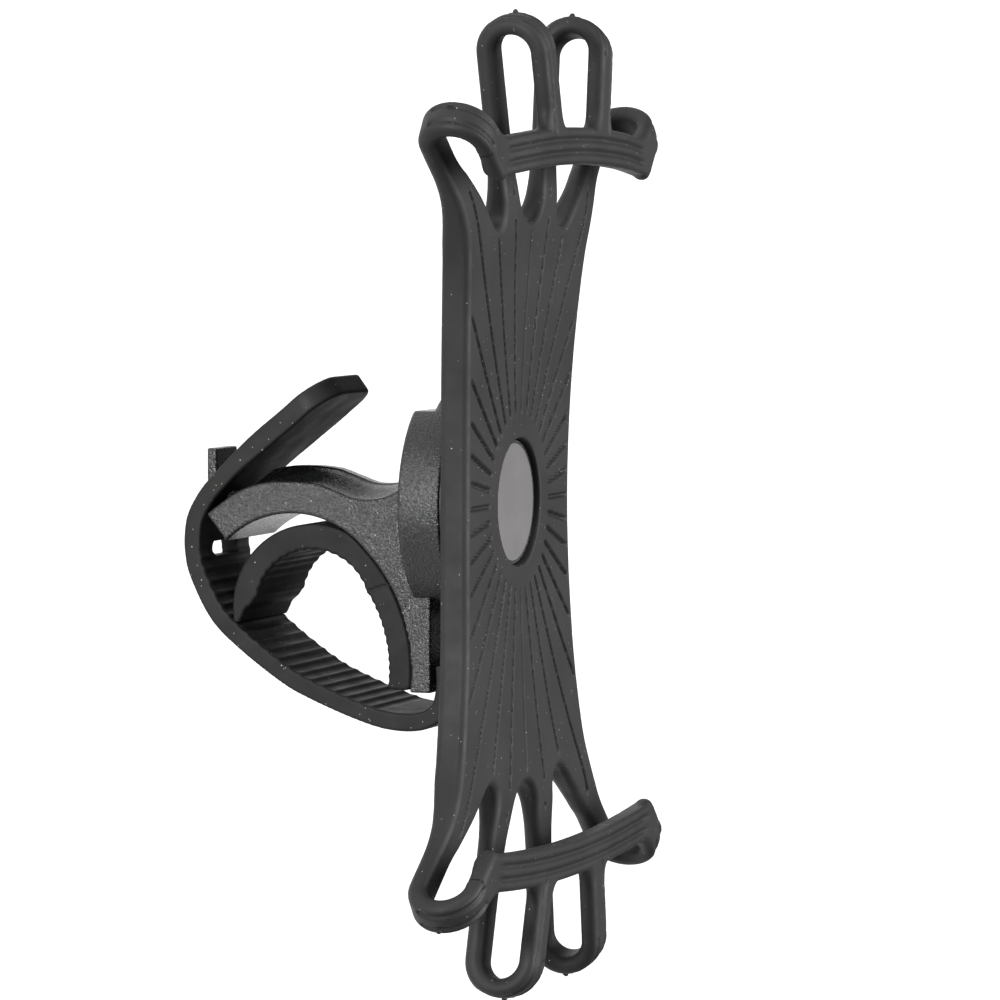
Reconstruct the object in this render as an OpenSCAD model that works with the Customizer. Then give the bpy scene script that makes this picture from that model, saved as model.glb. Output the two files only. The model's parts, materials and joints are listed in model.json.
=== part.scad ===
// Handlebar phone mount: a stretch web turns on a hub above a saddle bracket,
// and a toothed strap hooked on the bracket holds a handlebar.
// X runs along the handlebar, Y along the phone, Z away from the bar.
// The origin is on the axis of the clamped bar.

/* [Clamp] */
// Width of the bracket, its liner and the strap
clamp_w = 20; // [18:0.5:24]
// Radius of the clamped bar at the liner
bar_r = 9.0; // [8.6:0.1:9.1]
// Radius of the saddle under the arm
saddle_r = 15.2; // [15.0:0.1:15.4]
// Thickness of the rubber liner
liner_t = 3.9; // [3.4:0.1:4.0]
// Thickness of the strap
strap_t = 2.7; // [2.3:0.1:2.8]
// Width of the two strap slots
slot_w = 10; // [9.4:0.2:12]
// Width of the hook tab
hook_w = 8.4; // [6:0.2:8.8]

/* [Hub] */
// Distance from the bar's axis to the spin axis
spin_y = 16.3; // [16:0.1:16.6]
// Radius of the hub
hub_r = 17.3; // [16.5:0.1:18]
// Distance from the spin axis to each flat behind the hub
hub_flat = 13.8; // [13.4:0.1:14.4]
// Number of click positions in one turn
clicks = 12; // [12:12:12]

/* [Web] */
// Height of the web's front face above the bar's axis
web_z = 29; // [28.8:0.1:30]
// Thickness of the web at its middle
web_t = 4.3; // [4:0.1:4.3]
// Half width of the bed at its middle
bed_half = 22.2; // [21:0.2:24]
// Distance from the spin axis to the top of a middle loop
loop_top = 72.3; // [70:0.5:76]
// Half distance between the tops of the outer loops
corner_x = 42.7; // [42:0.1:43.2]
// Distance along Y from the spin axis to the top of an outer loop
corner_y = 58.5; // [58:0.5:59.5]
// Width of the strip that a loop is made of
strip_w = 6; // [5:0.2:7]
// Thickness of that strip
strip_t = 3; // [2.6:0.1:3.1]

/* [Hidden] */
$fn = 96;

// Saddle: a tight arc under the arm runs into a slack arc along the leg.
arc_a = [-0.8, -3.2];
arc_b = [-8.7, -9.5];
arc_b_r = saddle_r + norm(arc_a - arc_b) - 0.1;
arm_c = [-1.2, -4.1];
arm_r = 20.35;
crown_r = 22.3;
crown_rise = 1.8;
crown_w = 11;
crown_start_z = -11;
arm_tip = [14, -16.9];
arm_foot = [9.6, -14.1];
leg_tip_y = -11.1;
liner_join = [9.3, 27];
liner_tail_y = -10.8;
leg_top_y = 2.5;

// Heights along Z of the hub's faces and of what lies inside it
hub_back_z = 16.1;
flat_top_z = 19.4;
cup_rim_z = 22.6;
cup_floor_z = 18.4;
cup_r = 12.6;
ball_seat_z = 20.6;
seat_wall = 2;
spring_z = 17.25;
spring_h = 2.15;
plate_z = 23.05;
web_back_z = web_z - web_t;
insert_z = 15;
insert_top_z = 20.4;
well_z = 24.6;
washer_z = 25;
head_z = 25.6;
ring_z = 26.4;
ring_top_z = 27.4;
boss_top_z = web_z - 0.7;
cap_z = boss_top_z - 0.5;

// Pivot screw, its insert and the detent
screw_r = 2;
head_r = 3.6;
socket_r = 1.5;
insert_r = 3;
ball_r = 1.2;
ball_ring_r = 9.5;
ball_count = 4;
ball_z = 20.85;
run_gap = 0.05;
window_r = 9.5;
boss_r = 9.2;
ring_r = 12.6;
plate_screw_ring = 11;
plate_screw_r = 0.8;
plate_head_r = 1.4;
cap_r = 8.75;
sleeve_r = 4.2;

// Strap root: a steel pin across the two rails of the leg
pin_c = [-9.5, 17.45];
pin_r = 0.9;
eye_r = 1.6;
pin_inset = 1.2;
rail_z = 18.8;
rail_top_y = 3.2;
channel_w = 10;
channel_floor_z = 16.4;
tongue_w = 9.2;
tongue_rise = 2.8;
swing_room_y = -1;

// Route of the strap's middle line, from the tip of the tail to its root
strap_path = [
    [33.8, 2.1], [28.8, -4.3], [24.4, -9.65], [16.8, -17.2], [13, -19], [7.4, -19],
    [-1, -15.1], [-5.3, -10.6], [-9.75, -4.1], [-11.8, 0.3], [-14.4, 6.6], [-16, 12],
    [-16.1, 16.9], [-14.4, 19.9], [-11, 20.9], [-7.6, 20.8]
];
hook_slot_c = [16.2, -17.7];
hook_slot_tilt = 43;
hook_slot_l = 4.8;
spare_slot_c = [8, -19.2];
spare_slot_tilt = 175;
spare_slot_l = 3.4;

// Web: the bed bows forward towards both ends
bed_end = 40;
grip_start = 50;
bed_bow_r = 534;
bed_flare = 3;
loop_r = 5.3;
loop_mid_z = 4;
corner_mid_z = 3.6;
middle_lean = 13.6;
corner_lean = 46;
loop_x = 15.2;
bar_arc_r = 296;
bar_y = 50.6;
bar_depth = 4.8;
bar_half = 37.5;

// Extrudes a (Y, Z) outline to a width along X.
module along_x(w) {
    rotate([90, 0, 90]) linear_extrude(w, center = true) children();
}

// A straight cylinder about the spin axis between two heights
module disc(r, z0, z1) {
    translate([0, spin_y, z0]) cylinder(r = r, h = z1 - z0);
}

// Puts its children once at each of n places round the spin axis.
module around(n, r, turn = 0) {
    for (i = [0 : n - 1])
        translate([0, spin_y, 0]) rotate([0, 0, turn + i * 360 / n]) translate([r, 0, 0]) children();
}

// The space inside the saddle, where the liner and the bar lie
module saddle_space() {
    translate(arc_a) circle(saddle_r);
    intersection() {
        translate(arc_b) circle(arc_b_r);
        polygon([arc_b, arc_b + 60 * (arc_a - arc_b) / norm(arc_a - arc_b), [-40, 60]]);
    }
}

// Arm, shoulder and leg, with the top edge at radius r about arm_c
module arm_outline(r, rise) {
    difference() {
        union() {
            intersection() {
                translate(arm_c) circle(r);
                polygon([arm_tip, arm_foot, [0, 0], [10, 6], [24, 6], [24, -9.5], [16.6, -16]]);
            }
            polygon([
                [8, 4], [17.1 + rise, 5.2], [16.9 + rise, 9.2], [18.1 + rise, 13.2],
                [20.5 + rise, hub_back_z], [20.5, hub_back_z + 1], [leg_top_y, hub_back_z + 1],
                [leg_top_y, hub_back_z], [leg_tip_y, 17.2], [leg_tip_y, 12], [0, 0]
            ]);
        }
        saddle_space();
    }
}

// Raised middle of the arm, which ends before the strap crosses it
module crown_outline() {
    difference() {
        arm_outline(crown_r, crown_rise);
        translate([0, crown_start_z - 20]) square([40, 20]);
    }
}

// Neck and upright tab that the strap's slot is pushed over
module hook_outline() {
    polygon([
        [12.4, -16], [14.4, -14.6], [17.4, -18], [23.4, -18], [23.4, -19.5], [16.8, -19.5], [13.4, -17]
    ]);
}

// Turns its children's Z along the strap's pin, starting at x.
module on_pin(x) {
    translate([x, pin_c[0], pin_c[1]]) rotate([0, 90, 0]) children();
}

module saddle_bracket() {
    color([0.16, 0.16, 0.17]) difference() {
        union() {
            along_x(clamp_w) arm_outline(arm_r, 0);
            along_x(crown_w) crown_outline();
            along_x(hook_w) hook_outline();
            // Rails on the leg hold the strap's pin.
            along_x(clamp_w) difference() {
                polygon([
                    [rail_top_y, hub_back_z], [rail_top_y, rail_z], [leg_tip_y, rail_z],
                    [leg_tip_y, 15.6], [0, 14]
                ]);
                saddle_space();
            }
            disc(hub_r, flat_top_z, cup_rim_z);
            intersection() {
                disc(hub_r, hub_back_z, flat_top_z);
                translate([-hub_r, spin_y - hub_flat, hub_back_z]) cube([2 * hub_r, 2 * hub_flat, 10]);
            }
        }
        difference() {
            disc(cup_r, cup_floor_z, cup_rim_z + 1);
            disc(insert_r + seat_wall, cup_floor_z - 1, insert_top_z);
            difference() {
                disc(ball_ring_r + seat_wall, cup_floor_z - 1, ball_seat_z);
                disc(ball_ring_r - seat_wall, cup_floor_z - 2, ball_seat_z + 1);
            }
        }
        disc(insert_r, insert_z, insert_top_z + 1);
        around(ball_count, ball_ring_r)
            translate([0, 0, spring_z - 0.25]) cylinder(r = ball_r + run_gap, h = 6);
        // Channel that the strap's tongue swings in
        translate([-channel_w / 2, leg_tip_y - 1, channel_floor_z])
            cube([channel_w, swing_room_y - leg_tip_y + 1, 6]);
        translate([-channel_w / 2, leg_tip_y - 1, 13]) cube([channel_w, 5, 6]);
        on_pin(-clamp_w / 2 + pin_inset) cylinder(r = pin_r, h = clamp_w);
    }
}

// Rubber liner: a round bar seat with a free end, and a tail bonded along the leg
module liner_pad() {
    color([0.12, 0.12, 0.12]) along_x(clamp_w) intersection() {
        union() {
            difference() {
                circle(bar_r + liner_t);
                circle(bar_r);
                polygon([[0, 0], [-1.6, -30], [-60, -30], [-60, 60], liner_join]);
            }
            intersection() {
                difference() {
                    translate(arc_b) circle(arc_b_r);
                    translate(arc_b) circle(arc_b_r - liner_t + 0.2);
                    circle(bar_r);
                }
                polygon([[0, 0], liner_join, [liner_tail_y, 27], [liner_tail_y, 0]]);
            }
        }
        saddle_space();
    }
}

module strap_pin() {
    color("silver") on_pin(-clamp_w / 2 + pin_inset) cylinder(r = pin_r, h = clamp_w - pin_inset - 0.4);
}

// Smooth curve through points, k steps between each pair
function spline_at(p, i, t) =
    let (
        a = p[max(i - 1, 0)],
        b = p[i],
        c = p[i + 1],
        d = p[min(i + 2, len(p) - 1)]
    )
    0.5 * (2 * b + (c - a) * t + (2 * a - 5 * b + 4 * c - d) * t * t
        + (3 * b - a - 3 * c + d) * t * t * t);
function spline(p, k) = concat(
    [for (i = [0 : len(p) - 2], j = [0 : k - 1]) spline_at(p, i, j / k)],
    [p[len(p) - 1]]
);
function side(p, d) = [
    for (i = [0 : len(p) - 1])
        let (v = p[min(i + 1, len(p) - 1)] - p[max(i - 1, 0)])
        p[i] + d * [-v[1], v[0]] / norm(v)
];

// Slot cut square through the strap at a point of its route
module strap_slot(c, tilt, l) {
    along_x(slot_w) translate(c) rotate(tilt) square([l, 8], center = true);
}

module strap() {
    route = spline(strap_path, 5);
    near = side(route, strap_t / 2);
    far = side(route, -strap_t / 2);
    color([0.13, 0.13, 0.13]) difference() {
        union() {
            along_x(clamp_w) polygon(concat(near, [for (i = [len(far) - 1 : -1 : 0]) far[i]]));
            along_x(tongue_w) {
                translate(pin_c) circle(eye_r);
                translate([pin_c[0] - eye_r, pin_c[1]]) square([2 * eye_r, tongue_rise]);
            }
        }
        on_pin(-clamp_w) cylinder(r = pin_r + run_gap, h = 2 * clamp_w);
        strap_slot(hook_slot_c, hook_slot_tilt, hook_slot_l);
        strap_slot(spare_slot_c, spare_slot_tilt, spare_slot_l);
    }
}

module threaded_insert() {
    color("goldenrod") difference() {
        disc(insert_r, insert_z, insert_top_z);
        disc(screw_r, insert_z - 1, insert_top_z + 1);
    }
}

module pivot_screw() {
    color("silver") difference() {
        union() {
            disc(screw_r, insert_z + 0.4, head_z + 0.4);
            disc(head_r, head_z, head_z + 1.8);
        }
        translate([0, spin_y, head_z + 0.6]) cylinder(r = socket_r, h = 3, $fn = 6);
    }
}

module pivot_washer() {
    color("silver") difference() {
        disc(4.8, washer_z, head_z);
        disc(screw_r, 24, 27);
    }
}

module wave_washer() {
    color("lightgray") difference() {
        disc(4.6, well_z + run_gap, washer_z);
        disc(screw_r + 0.2, 24, 27);
    }
}

// Slippery ring on the rim of the hub, under the turning plate
module glide_ring() {
    color([0.14, 0.14, 0.14]) difference() {
        disc(hub_r - 0.5, cup_rim_z, plate_z - run_gap);
        disc(cup_r + 0.4, cup_rim_z - 1, plate_z + 1);
    }
}

module detent_balls() {
    color("silver") around(ball_count, ball_ring_r) translate([0, 0, ball_z]) sphere(ball_r);
}

// One coil spring as a swept ring of points: radius r, wire radius w, n turns in height h
module coil(r, w, n, h) {
    sides = 8;
    steps = 14 * n;
    rings = [
        for (i = [0 : steps], j = [0 : sides - 1])
            let (a = 360 * n * i / steps, b = 360 * j / sides, q = r + w * cos(b))
            [q * cos(a), q * sin(a), h * i / steps + w * sin(b)]
    ];
    walls = [
        for (i = [0 : steps - 1], j = [0 : sides - 1])
            let (k = (j + 1) % sides)
            [i * sides + j, i * sides + k, (i + 1) * sides + k, (i + 1) * sides + j]
    ];
    ends = [
        [for (j = [sides - 1 : -1 : 0]) j],
        [for (j = [0 : sides - 1]) steps * sides + j]
    ];
    polyhedron(rings, [for (f = concat(walls, ends)) [for (i = [len(f) - 1 : -1 : 0]) f[i]]]);
}

module detent_springs() {
    color("silver") around(ball_count, ball_ring_r) translate([0, 0, spring_z]) coil(0.85, 0.2, 4, spring_h);
}

// Clearance for the four screws that join the plate and its rings
module plate_screw_holes() {
    around(4, plate_screw_ring, 45) translate([0, 0, 20]) cylinder(r = plate_screw_r, h = 10);
}

// Turning plate: a flange behind the web, a boss through its window and a bearing sleeve
module back_plate() {
    color([0.17, 0.17, 0.18]) difference() {
        union() {
            disc(hub_r - 0.1, plate_z, web_back_z);
            disc(boss_r, plate_z, boss_top_z);
            disc(sleeve_r, insert_top_z + 0.15, plate_z + 0.1);
        }
        disc(screw_r + run_gap, 10, 40);
        disc(5.6, well_z, 40);
        disc(cap_r + run_gap, cap_z, 40);
        plate_screw_holes();
    }
}

module click_ring() {
    color("silver") difference() {
        disc(12, 21.2, plate_z);
        disc(7, 20, 24);
        around(clicks, ball_ring_r) translate([0, 0, ball_z]) sphere(ball_r + run_gap);
        plate_screw_holes();
    }
}

module retaining_ring() {
    color("silver") difference() {
        disc(ring_r, ring_z, ring_top_z);
        disc(boss_r, 26, 28);
        plate_screw_holes();
    }
}

module plate_screws() {
    color("silver") around(4, plate_screw_ring, 45) {
        translate([0, 0, 21.4]) cylinder(r = plate_screw_r, h = 6.2);
        translate([0, 0, ring_top_z]) cylinder(r = plate_head_r, h = 0.8);
    }
}

module centre_cap() {
    color([0.45, 0.44, 0.45]) disc(cap_r, cap_z, cap_z + 0.5);
}

// Half width of the bed at a distance y from the spin axis
function bed_x(y) = bed_half + bed_flare * pow(y / bed_end, 2);

module web_bed() {
    edge = [for (y = [-bed_end : 5 : bed_end]) [bed_x(y), y]];
    back = [for (y = [bed_end : -5 : -bed_end]) [-bed_x(y), y]];
    color([0.2, 0.19, 0.19]) difference() {
        intersection() {
            translate([0, spin_y, web_back_z - 1]) linear_extrude(12) polygon(concat(edge, back));
            translate([0, spin_y, web_z]) along_x(80) difference() {
                translate([0, bed_bow_r - web_t]) circle(bed_bow_r, $fn = 360);
                translate([0, bed_bow_r]) circle(bed_bow_r, $fn = 360);
                translate([-2 * bed_bow_r, 20]) square([4 * bed_bow_r, 3 * bed_bow_r]);
            }
        }
        disc(window_r, 20, 40);
        disc(ring_r, ring_z, ring_top_z);
        around(4, plate_screw_ring, 45) {
            translate([0, 0, 20]) cylinder(r = plate_screw_r, h = 7);
            translate([0, 0, 27]) cylinder(r = plate_head_r, h = 1.2);
        }
        // The plate's flange stays flat where the bed's back bows.
        disc(hub_r + 0.2, 20, web_back_z);
    }
}

// Four straight strips from the bed to one grip: near and far pairs are mirrored.
module fingers() {
    grip_x = corner_x - (corner_y - grip_start) * tan(corner_lean);
    grip_half = strip_w / 2 / cos(corner_lean);
    for (s = [-1, 1]) scale([s, 1, 1]) translate([0, 0, loop_mid_z - loop_r - 0.1]) {
        linear_extrude(strip_t) polygon([
            [1.2, bed_end], [13.8, bed_end], [12.4, 44], [12.9, grip_start], [6.7, grip_start], [5, 45]
        ]);
        linear_extrude(strip_t) polygon([
            [17, bed_end], [25, bed_end], [28, 41.6],
            [grip_x + grip_half, grip_start], [grip_x - grip_half, grip_start]
        ]);
    }
}

// One loop: a strip that runs out, turns over a round end and comes back in front
module loop(back_l, front_l, mid_z, lean) {
    translate([0, 0, mid_z]) rotate([0, 0, -lean]) along_x(strip_w) difference() {
        union() {
            translate([-loop_r, 0]) circle(loop_r);
            translate([-back_l, -loop_r]) square([back_l - loop_r, loop_r]);
            translate([-front_l, 0]) square([front_l - loop_r, loop_r]);
        }
        translate([-loop_r, 0]) circle(loop_r - strip_t);
        translate([-60, strip_t - loop_r]) square([60 - loop_r, 2 * (loop_r - strip_t)]);
    }
}

module grip() {
    difference() {
        for (s = [-1, 1]) scale([s, 1, 1]) {
            translate([loop_x, loop_top, 0]) loop(26, 20.5, loop_mid_z, middle_lean);
            translate([corner_x, corner_y, 0]) loop(18, 11.5, corner_mid_z, corner_lean);
        }
        translate([-60, 20, -10]) cube([120, grip_start - 20, 12.5]);
    }
    translate([0, 0, loop_mid_z + loop_r - strip_t - 0.2]) linear_extrude(strip_t + 0.2) intersection() {
        translate([0, bar_y - bar_arc_r]) difference() {
            circle(bar_arc_r + bar_depth, $fn = 360);
            circle(bar_arc_r, $fn = 360);
        }
        translate([-bar_half, 20]) square([2 * bar_half, 60]);
    }
}

module on_web(turn) {
    color([0.2, 0.19, 0.19]) translate([0, spin_y, web_z]) rotate([0, 0, turn]) children();
}

module upper_fingers() { on_web(0) fingers(); }
module lower_fingers() { on_web(180) fingers(); }
module upper_grip() { on_web(0) grip(); }
module lower_grip() { on_web(180) grip(); }

saddle_bracket();
liner_pad();
strap_pin();
threaded_insert();
pivot_screw();
pivot_washer();
wave_washer();
glide_ring();
detent_balls();
detent_springs();
strap();
back_plate();
click_ring();
retaining_ring();
plate_screws();
centre_cap();
web_bed();
upper_fingers();
lower_fingers();
upper_grip();
lower_grip();
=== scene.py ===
"""Looks of a handlebar phone mount: a rubber web on a hub, a saddle bracket, its liner and a toothed strap.

Lengths in the shape functions are millimetres. X runs along the handlebar, Y along the phone and Z away
from the bar. The web's functions are centred on the spin axis at the web's front face, and the others
on the bar's axis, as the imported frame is.
"""
import json
import math

import bmesh
import bpy
import numpy as np
from mathutils import Matrix, Vector


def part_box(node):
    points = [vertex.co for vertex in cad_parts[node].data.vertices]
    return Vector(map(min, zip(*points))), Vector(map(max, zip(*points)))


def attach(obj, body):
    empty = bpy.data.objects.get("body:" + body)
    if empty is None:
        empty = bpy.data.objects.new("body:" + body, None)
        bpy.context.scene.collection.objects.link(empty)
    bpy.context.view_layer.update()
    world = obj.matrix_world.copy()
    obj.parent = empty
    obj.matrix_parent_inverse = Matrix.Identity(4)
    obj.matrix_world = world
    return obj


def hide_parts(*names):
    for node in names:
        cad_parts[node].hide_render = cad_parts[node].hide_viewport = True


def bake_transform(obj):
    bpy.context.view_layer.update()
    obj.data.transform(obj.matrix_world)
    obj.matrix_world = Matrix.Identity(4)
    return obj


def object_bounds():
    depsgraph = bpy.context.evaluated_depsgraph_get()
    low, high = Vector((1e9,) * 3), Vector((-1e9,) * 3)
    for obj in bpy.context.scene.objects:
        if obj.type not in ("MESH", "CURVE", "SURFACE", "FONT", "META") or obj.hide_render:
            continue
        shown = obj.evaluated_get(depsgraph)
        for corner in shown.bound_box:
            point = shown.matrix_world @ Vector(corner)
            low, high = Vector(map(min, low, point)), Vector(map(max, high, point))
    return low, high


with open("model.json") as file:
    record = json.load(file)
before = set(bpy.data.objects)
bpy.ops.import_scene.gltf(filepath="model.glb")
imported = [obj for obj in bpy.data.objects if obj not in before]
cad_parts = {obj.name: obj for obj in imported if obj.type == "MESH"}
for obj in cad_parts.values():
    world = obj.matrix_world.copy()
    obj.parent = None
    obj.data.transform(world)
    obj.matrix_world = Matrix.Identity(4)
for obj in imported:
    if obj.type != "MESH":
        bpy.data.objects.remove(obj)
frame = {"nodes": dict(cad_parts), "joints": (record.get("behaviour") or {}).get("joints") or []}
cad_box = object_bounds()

MM = 0.001


def joint(name):
    """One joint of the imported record."""
    return next(j for j in frame["joints"] if j["name"] == name)


SPIN_Y = joint("holder_spin")["pos_m"][1] / MM
PIN = tuple(round(v / MM, 3) for v in joint("strap_swing")["pos_m"][1:])
CAP_SINK = 0.7
WEB_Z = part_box("centre_cap")[1].z / MM + CAP_SINK

# ---------------------------------------------------------------- signed distances


def ease(t):
    """0 below 0, 1 above 1, and smooth between."""
    t = np.clip(t, 0, 1)
    return t * t * (3 - 2 * t)


def soft_min(a, b, k):
    """The smaller distance, with a fillet of about k where the two are equal."""
    h = np.clip(0.5 + 0.5 * (b - a) / k, 0, 1)
    return b + (a - b) * h - k * h * (1 - h)


def soft_max(a, b, k):
    """The larger distance, with an inner corner of about k."""
    return -soft_min(-a, -b, k)


def corner(a, b, r):
    """Both distances at once, with a round edge of radius r."""
    p = np.maximum(a + r, 0)
    q = np.maximum(b + r, 0)
    return np.minimum(np.maximum(a + r, b + r), 0) + np.sqrt(p * p + q * q) - r


def slab(plan, z, low, high, low_r, high_r):
    """A plan distance extruded from low to high, with its two rims rounded."""
    middle = (low + high) / 2
    r = np.where(z > middle, high_r, low_r)
    return corner(plan, np.abs(z - middle) - (high - low) / 2, r)


def polygon(x, y, points):
    """Signed distance to a closed polygon."""
    best = np.full(np.broadcast(x, y).shape, 1e9)
    sign = np.ones(best.shape)
    for (ax, ay), (bx, by) in zip(points, points[1:] + points[:1]):
        ex, ey = bx - ax, by - ay
        wx, wy = x - ax, y - ay
        t = np.clip((wx * ex + wy * ey) / (ex * ex + ey * ey), 0, 1)
        best = np.minimum(best, (wx - t * ex) ** 2 + (wy - t * ey) ** 2)
        above_a, above_b = y >= ay, y >= by
        left = ex * wy - ey * wx
        sign = np.where((above_a & ~above_b & (left < 0)) | (~above_a & above_b & (left > 0)), -sign, sign)
    return sign * np.sqrt(best)


# ---------------------------------------------------------------- meshes from distances


def surface_net(field, axes):
    """Points and quads where a sampled field changes sign, one point in each mixed cell."""
    cells = np.array(field.shape) - 1
    sums = np.zeros((4, cells.prod()))
    faces = []
    for axis in range(3):
        near = tuple(slice(0, -1) if k == axis else slice(None) for k in range(3))
        far = tuple(slice(1, None) if k == axis else slice(None) for k in range(3))
        mixed = (field[near] < 0) != (field[far] < 0)
        at = np.argwhere(mixed)
        v0, v1 = field[near][mixed], field[far][mixed]
        spot = np.stack([axes[k][at[:, k]] for k in range(3)], 1)
        step = axes[axis][at[:, axis] + 1] - spot[:, axis]
        spot[:, axis] += step * v0 / (v0 - v1)
        u, v = (axis + 1) % 3, (axis + 2) % 3
        ring, whole = [], np.ones(len(at), bool)
        for du, dv in ((-1, -1), (0, -1), (0, 0), (-1, 0)):
            cell = at.copy()
            cell[:, u] += du
            cell[:, v] += dv
            good = ((cell >= 0) & (cell < cells)).all(1)
            whole &= good
            index = np.ravel_multi_index(tuple(np.clip(cell, 0, cells - 1).T), cells)
            ring.append(index)
            for k in range(3):
                sums[k] += np.bincount(index[good], spot[good, k], cells.prod())
            sums[3] += np.bincount(index[good], minlength=cells.prod())
        quad = np.stack(ring, 1)
        quad[v0 > 0] = quad[v0 > 0][:, ::-1]
        faces.append(quad[whole])
    faces = np.concatenate(faces)
    used = np.unique(faces)
    place = np.zeros(cells.prod(), int)
    place[used] = np.arange(len(used))
    return (sums[:3, used] / sums[3, used]).T, place[faces]


def gradient(points, shape, h=0.02):
    """Slope of a distance at each point."""
    slope = []
    for k in range(3):
        step = np.zeros(3)
        step[k] = h
        ahead, behind = points + step, points - step
        slope.append((shape(*ahead.T) - shape(*behind.T)) / (2 * h))
    return np.stack(slope, 1)


def settle(points, shape, reach, rounds=2, h=0.02):
    """Moves points onto the surface, by at most reach each round."""
    for _ in range(rounds):
        here = shape(*points.T)
        slope = np.stack([(shape(*(points + h * np.eye(3)[k]).T) - here) / h for k in range(3)], 1)
        step = (here / np.maximum((slope * slope).sum(1), 0.05))[:, None] * slope
        size = np.linalg.norm(step, axis=1, keepdims=True)
        points = points - step * np.minimum(1, reach / np.maximum(size, 1e-9))
    return points


def relax(points, faces, share=0.5):
    """Moves each point towards the middle of its neighbours."""
    total = np.zeros_like(points)
    count = np.zeros(len(points))
    for k in range(4):
        a, b = faces[:, k], faces[:, (k + 1) % 4]
        for p, q in ((a, b), (b, a)):
            for c in range(3):
                total[:, c] += np.bincount(p, points[q, c], len(points))
            count += np.bincount(p, minlength=len(points))
    return points + share * (total / np.maximum(count, 1)[:, None] - points)


def mesh_of(shape, low, high, step):
    """Points and quads of a distance inside a box that starts at X = 0, mirrored to the other side."""
    axes = [np.linspace(a, b, math.ceil((b - a) / step) + 1) for a, b in zip(low, high)]
    field = shape(axes[0][:, None, None], axes[1][None, :, None], axes[2][None, None, :])
    field = np.concatenate([field[:0:-1], field])
    axes[0] = np.concatenate([-axes[0][:0:-1], axes[0]])
    points, faces = surface_net(field, axes)
    points = settle(points, shape, step)
    for _ in range(2):
        points = settle(relax(points, faces), shape, step, 1)
    return settle(points, shape, step, 1), faces


def normals_of(points, shape):
    """Outward unit normals of a distance at its points."""
    slope = gradient(points, shape)
    return slope / np.maximum(np.linalg.norm(slope, axis=1, keepdims=True), 1e-9)


def piece_from(name, points, faces, normals, centre=(0, 0, 0), turn=1):
    """A shaded Blender object from millimetre points, turned half round its centre where turn is -1."""
    flip = np.array([turn, turn, 1.0])
    mesh = bpy.data.meshes.new(name)
    mesh.from_pydata(((points * flip + np.array(centre)) * MM).tolist(), [], [list(f) for f in faces])
    mesh.shade_smooth()
    mesh.normals_split_custom_set_from_vertices((normals * flip).tolist())
    piece = bpy.data.objects.new(name, mesh)
    bpy.context.scene.collection.objects.link(piece)
    return piece


def body_piece(name, body, node, shape, low, high, step, finish, root=None):
    """A solid from a distance that stands for a CAD node and rides on a body.

    Where root is given, the piece only has its place baked in and is not attached to a body; the body and the
    two heights in root are not used.
    """
    points, faces = mesh_of(shape, low, high, step)
    piece = piece_from(name, points, faces, normals_of(points, shape))
    piece.data.materials.append(finish)
    if root:
        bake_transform(piece)
    else:
        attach(piece, body)
    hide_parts(node)
    return piece


# ---------------------------------------------------------------- web

BED_THICK = 4.3
BED_HALF = 23.1
BED_FLARE = 4.2
BED_BOW = 1.8
BED_FRONT = 0.25
BED_END = 40.0
BED_TOP = 47.0
WINDOW_R = 9.5
WINDOW_RIM = 0.35
FINGERS_FROM = 38.0
FINGERS_RUN = 12.0
SLOT_FROM = 41.9
SLOT_ROUND = 4.0
SIDE_SLOT_FROM = 40.2
SIDE_SLOT_SLOPE = 0.45
LOOP_R = 5.6
LOOP_LAP = 0.4
STRIP_T = 2.8
STRIP_HALF = 2.75
ROOT_HALF = 3.5
LOOP_MID_Z = 4.85
LEAN_BACK = 0.035
OUTER_DROP = 0.8
DROOP = 0.9
SPREAD = 0.09
MIDDLE = (14.4, 72.1, math.radians(12.3))
OUTER = (41.1, 57.5, math.radians(50))
BAR_R = 296.0
BAR_Y = 50.2
BAR_DEPTH = 5.5
BAR_HALF = 36.0
STRIP_RIM = 1.3
SHOULDER = 1.2
LINE_DEPTH = 0.42
LINE_HALF = 0.75
LINE_SIDE = 1.3
BAR_LINE_SIDE = 0.95
NIB_R = 0.45
GROOVES = 36
GROOVE_START = 12.9
GROOVE_MARGIN = 1.4
GROOVE_HALF = 0.5
GROOVE_DEPTH = 0.7
WEB_STEP = 0.4


def along_strip(x, y, strip):
    """Distances along and across a leaning strip, from the top of its loop."""
    tx, ty, lean = strip
    s, c = math.sin(lean), math.cos(lean)
    return (x - tx) * s + (y - ty) * c, (x - tx) * c - (y - ty) * s


def strip_half(y):
    """Half width of a strip, widest where it leaves the bed."""
    return STRIP_HALF + (ROOT_HALF - STRIP_HALF) * (1 - ease((y - 44) / 12))


def outer_drop(x, y):
    """How far the outer fingers and their loops lie back from the middle ones."""
    return OUTER_DROP * ease((np.abs(x) - 20) / 12) * ease((y - FINGERS_FROM) / 14)


def lean_back(x, y):
    """How far the loops lean back from the bed's plane."""
    return LEAN_BACK * np.maximum(np.abs(y) - 45, 0) + outer_drop(x, y)


def bed_front(y):
    """Height of the web's front face."""
    rise = ease((np.abs(y) - FINGERS_FROM) / FINGERS_RUN)
    return (1 - rise) * (BED_FRONT + BED_BOW * (y / BED_END) ** 2) + rise * (LOOP_MID_Z - LOOP_R + STRIP_T)


def bed_back(y):
    """Height of the web's back face."""
    rise = ease((np.abs(y) - FINGERS_FROM) / FINGERS_RUN)
    return (1 - rise) * (BED_BOW * (y / BED_END) ** 2 - BED_THICK) + rise * (LOOP_MID_Z - LOOP_R)


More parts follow.
